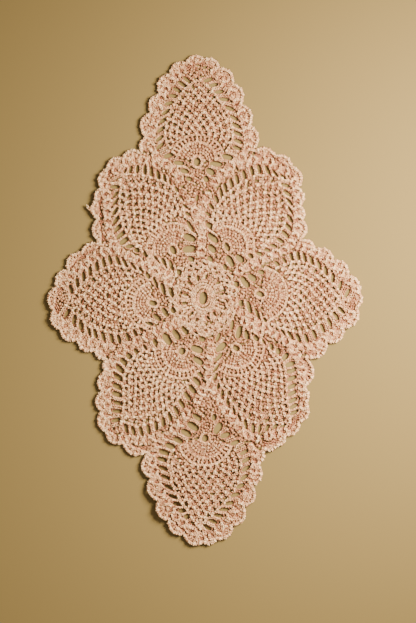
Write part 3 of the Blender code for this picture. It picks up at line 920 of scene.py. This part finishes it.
def tubeOf(line, height, yarn):
    points = np.stack((line.real, line.imag, height), 1)
    sideCount = cloth["yarnSides"]
    ahead = np.gradient(points, axis=0)
    ahead /= np.maximum(np.linalg.norm(ahead, axis=1), 1e-9)[:, None]
    across = np.cross(ahead, (0.0, 0.0, 1.0))
    across /= np.maximum(np.linalg.norm(across, axis=1), 1e-9)[:, None]
    top = np.cross(across, ahead)
    turn = 2 * math.pi * (np.arange(sideCount) + 0.5) / sideCount
    ring = np.cos(turn)[None, :, None] * across[:, None]
    ring = ring + np.sin(turn)[None, :, None] * top[:, None]
    thick = np.full(len(points), yarn)
    thick[0] = thick[-1] = yarn * cloth["endShare"]
    spots = points[:, None] + ring * thick[:, None, None]
    i, j = np.meshgrid(np.arange(len(points) - 1), np.arange(sideCount), indexing="ij")
    k = (j + 1) % sideCount
    quads = np.stack((i * sideCount + j, (i + 1) * sideCount + j,
                      (i + 1) * sideCount + k, i * sideCount + k), -1).reshape(-1, 4)
    run = np.concatenate(([0.0], np.cumsum(np.linalg.norm(np.diff(points, axis=0), axis=1))))
    aroundUv = np.stack((j, j, j + 1, j + 1), -1).reshape(-1, 4) / sideCount
    runUv = np.stack((run[i], run[i + 1], run[i + 1], run[i]), -1).reshape(-1, 4)
    first = np.arange(sideCount)
    last = (len(points) - 1) * sideCount + first[::-1]
    quads = np.concatenate((quads, [first, last]))
    aroundUv = np.concatenate((aroundUv, np.zeros((2, 4))))
    runUv = np.concatenate((runUv, [[0] * 4, [run[-1]] * 4]))
    return spots.reshape(-1, 3), quads, np.stack((aroundUv, runUv), -1)


def addObject(name, data):
    thing = bpy.data.objects.new(name, data)
    bpy.context.scene.collection.objects.link(thing)
    return thing


def buildPiece(name, parts, material):
    spots, quads, plies, shadeAndTones, start = [], [], [], [], 0
    low, high = cotton["shadeByHeight"]
    run, least, most = cotton["leftLightPaintRun"]
    for part in parts:
        for strand in work[part]:
            v, q, uv = tubeOf(*strand)
            spots.append(v)
            quads.append(q + start)
            plies.append(uv)
            # tone of each point: painted shade low in the work and painted highlight on its raised turns,
            # set by the height above the swell, plus painted light towards the left and a random tone per
            # strand
            above = v[:, 2] - rise(v[:, 0] + 1j * v[:, 1])
            leftLightPainted = cotton["leftLightPaint"] * np.clip(-v[:, 0] / run, least, most)
            strandTone = rng.uniform(-cotton["strandTone"], cotton["strandTone"])
            shadeAndTones.append((above - low) / (high - low) + leftLightPainted + strandTone)
            start += len(v)
    spots, quads, plies = np.concatenate(spots), np.concatenate(quads), np.concatenate(plies)
    spots[:, 0] -= chartMiddle.real
    spots[:, 1] -= chartMiddle.imag
    spots *= cloth["thread"]
    mesh = bpy.data.meshes.new(name)
    mesh.vertices.add(len(spots))
    mesh.vertices.foreach_set("co", spots.astype(np.float32).ravel())
    mesh.loops.add(quads.size)
    mesh.loops.foreach_set("vertex_index", quads.astype(np.int32).ravel())
    mesh.polygons.add(len(quads))
    mesh.polygons.foreach_set("loop_start", np.arange(0, quads.size, 4, dtype=np.int32))
    mesh.polygons.foreach_set("use_smooth", np.ones(len(quads), bool))
    mesh.update(calc_edges=True)
    ply = mesh.attributes.new("ply", "FLOAT2", "CORNER")
    ply.data.foreach_set("vector", plies.astype(np.float32).ravel())
    shadeAndTone = mesh.attributes.new("shadeAndTone", "FLOAT", "POINT")
    shadeAndTone.data.foreach_set("value", np.concatenate(shadeAndTones).astype(np.float32))
    mesh.materials.append(material)
    print(f"{name}: {len(quads) * 2} triangles")
    return addObject(name, mesh)


def linear(hexColour):  # sRGB hex to linear
    values = [int(hexColour[i:i + 2], 16) / 255 for i in (1, 3, 5)]
    return tuple(v / 12.92 if v <= 0.04045 else ((v + 0.055) / 1.055) ** 2.4 for v in values) + (1.0,)


def addNode(tree, kind, settings=None, inputs=None, links=None):
    node = tree.nodes.new(kind)
    for key, value in (settings or {}).items():
        setattr(node, key, value)
    for key, value in (inputs or {}).items():
        node.inputs[key].default_value = value
    for key, socket in (links or {}).items():
        tree.links.new(socket, node.inputs[key])
    return node


def startMaterial(name, values):
    material = bpy.data.materials.new(name)
    material.use_nodes = True
    tree = material.node_tree
    shader = tree.nodes["Principled BSDF"]
    for key, value in values["shader"].items():
        shader.inputs[key].default_value = value
    place = addNode(tree, "ShaderNodeNewGeometry")
    return material, tree, shader, {"Vector": place.outputs["Position"]}


def addBump(tree, shader, values, height):
    strength, distance = values["bump"]
    bump = addNode(tree, "ShaderNodeBump", {}, {"Strength": strength, "Distance": distance},
                   {"Height": height})
    tree.links.new(bump.outputs["Normal"], shader.inputs["Normal"])


def cottonMaterial():
    material, tree, shader, place = startMaterial("crochet_cotton_three_ply", cotton)
    ply = addNode(tree, "ShaderNodeAttribute", {"attribute_name": "ply"})
    shadeAndTone = addNode(tree, "ShaderNodeAttribute", {"attribute_name": "shadeAndTone"})
    parts = addNode(tree, "ShaderNodeSeparateXYZ", links={0: ply.outputs["Vector"]})
    turns = addNode(tree, "ShaderNodeMath", {"operation": "DIVIDE"}, {1: cotton["plyPitch"]},
                    {0: parts.outputs[1]})
    spiral = addNode(tree, "ShaderNodeMath", {"operation": "ADD"}, {},
                     {0: turns.outputs[0], 1: parts.outputs[0]})
    angle = addNode(tree, "ShaderNodeMath", {"operation": "MULTIPLY"}, {1: 2 * math.pi * cotton["plies"]},
                    {0: spiral.outputs[0]})
    wave = addNode(tree, "ShaderNodeMath", {"operation": "SINE"}, {}, {0: angle.outputs[0]})
    detail, roughness = cotton["fibreNoise"]
    fibres = addNode(tree, "ShaderNodeTexNoise", {},
                     {"Scale": 1 / cotton["fibre"], "Detail": detail, "Roughness": roughness}, place)
    patches = addNode(tree, "ShaderNodeTexNoise", {}, {"Scale": 1 / cotton["fading"], "Detail": 1.0}, place)
    low, high = cotton["fadeRange"]
    fade = addNode(tree, "ShaderNodeMapRange", {},
                   {1: low, 2: high, 3: -cotton["fade"] / 2, 4: cotton["fade"] / 2},
                   {0: patches.outputs[0]})
    # painted highlight by height, broken up by the paler and deeper patches
    shadeByHeight = addNode(tree, "ShaderNodeMath", {"operation": "MULTIPLY_ADD"}, {},
                   {0: shadeAndTone.outputs["Fac"], 1: fade.outputs[0], 2: shadeAndTone.outputs["Fac"]})
    low, high = cotton["lower"]
    lower = addNode(tree, "ShaderNodeMapRange", {}, {1: low, 2: high}, {0: shadeAndTone.outputs["Fac"]})
    low, high = cotton["upper"]
    upper = addNode(tree, "ShaderNodeMapRange", {}, {1: low, 2: high}, {0: shadeByHeight.outputs[0]})
    # painted shade low in the work turns to the yarn colour, then to painted highlight higher up
    mixLow = addNode(tree, "ShaderNodeMix", {"data_type": "RGBA"},
                     {6: linear(cotton["paintedShade"]), 7: linear(cotton["yarn"])}, {0: lower.outputs[0]})
    # painted highlight on the raised turns
    mixHigh = addNode(tree, "ShaderNodeMix", {"data_type": "RGBA"}, {7: linear(cotton["raised"])},
                      {0: upper.outputs[0], 6: mixLow.outputs[2]})
    # painted shade in the ply grooves, from the same spiral as the ply bump
    low, high = cotton["plyRidge"]
    ridge = addNode(tree, "ShaderNodeMapRange", {}, {1: low, 2: high}, {0: wave.outputs[0]})
    mixPly = addNode(tree, "ShaderNodeMix", {"data_type": "RGBA"}, {6: linear(cotton["paintedPlyShade"])},
                     {0: ridge.outputs[0], 7: mixHigh.outputs[2]})
    tree.links.new(mixPly.outputs[2], shader.inputs["Base Color"])
    height = addNode(tree, "ShaderNodeMath", {"operation": "MULTIPLY_ADD"}, {1: cotton["plyShare"]},
                     {0: wave.outputs[0], 2: fibres.outputs[0]})
    addBump(tree, shader, cotton, height.outputs[0])
    return material


# table board in matt khaki wall paint, rolled on, which gives it a faint orange-peel grain
board = {
    "size": 4.0,
    "colour": "#766740",
    "shader": {"Roughness": 0.75, "Specular IOR Level": 0.25},
    "grain": 900.0,  # waves of the rolled paint in a metre
    "bump": (0.08, 0.0001),  # strength, metres
}


def boardMaterial():
    material, tree, shader, place = startMaterial("painted_board", board)
    grain = addNode(tree, "ShaderNodeTexNoise", {}, {"Scale": board["grain"], "Detail": 2.0}, place)
    addBump(tree, shader, board, grain.outputs[0])
    shader.inputs["Base Color"].default_value = linear(board["colour"])
    return material


cottonLook = cottonMaterial()
made = {name: buildPiece(name, parts, cottonLook) for name, parts in pieces.items()}
for piece in made.values():
    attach(piece, "root")
    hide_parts(cloth["node"])
print("pieces built")

bpy.ops.mesh.primitive_plane_add(size=board["size"], location=(0, 0, 0))
floor = bpy.context.active_object
floor.name = "board"
floor.data.materials.append(boardMaterial())

# camera straight above, a little below the middle of the cloth
view = {"middle": (0.00235, -0.0096), "tall": 0.5313, "distance": 1.4, "sensor": 36.0}
cameraData = bpy.data.cameras.new("camera")
camera = addObject("camera", cameraData)
cameraData.sensor_width = view["sensor"]
cameraData.lens = view["sensor"] * view["distance"] / view["tall"]
camera.location = (*view["middle"], view["distance"])
bpy.context.scene.camera = camera

# soft window light from the upper right, and a dim even fill
light = {
    "from": (0.47, 0.19, 0.44),
    "towards": (0.08, -0.06, 0.0),
    "size": 0.3,
    "spread": 104,  # degrees
    "power": 9.2,
    "colour": "#ffeed0",
    "fill": 0.5,
    "fillColour": "#fde5ca",
}
lampData = bpy.data.lights.new("window", "AREA")
lampData.size = light["size"]
lampData.energy = light["power"]
lampData.color = linear(light["colour"])[:3]
lampData.spread = math.radians(light["spread"])
lamp = addObject("window", lampData)
lamp.location = light["from"]
lamp.rotation_mode = "QUATERNION"
lamp.rotation_quaternion = (lamp.location - Vector(light["towards"])).to_track_quat("Z", "Y")
world = bpy.data.worlds.new("room")
bpy.context.scene.world = world
world.use_nodes = True
background = world.node_tree.nodes["Background"]
background.inputs["Color"].default_value = linear(light["fillColour"])
background.inputs["Strength"].default_value = light["fill"]
print("camera and light set")
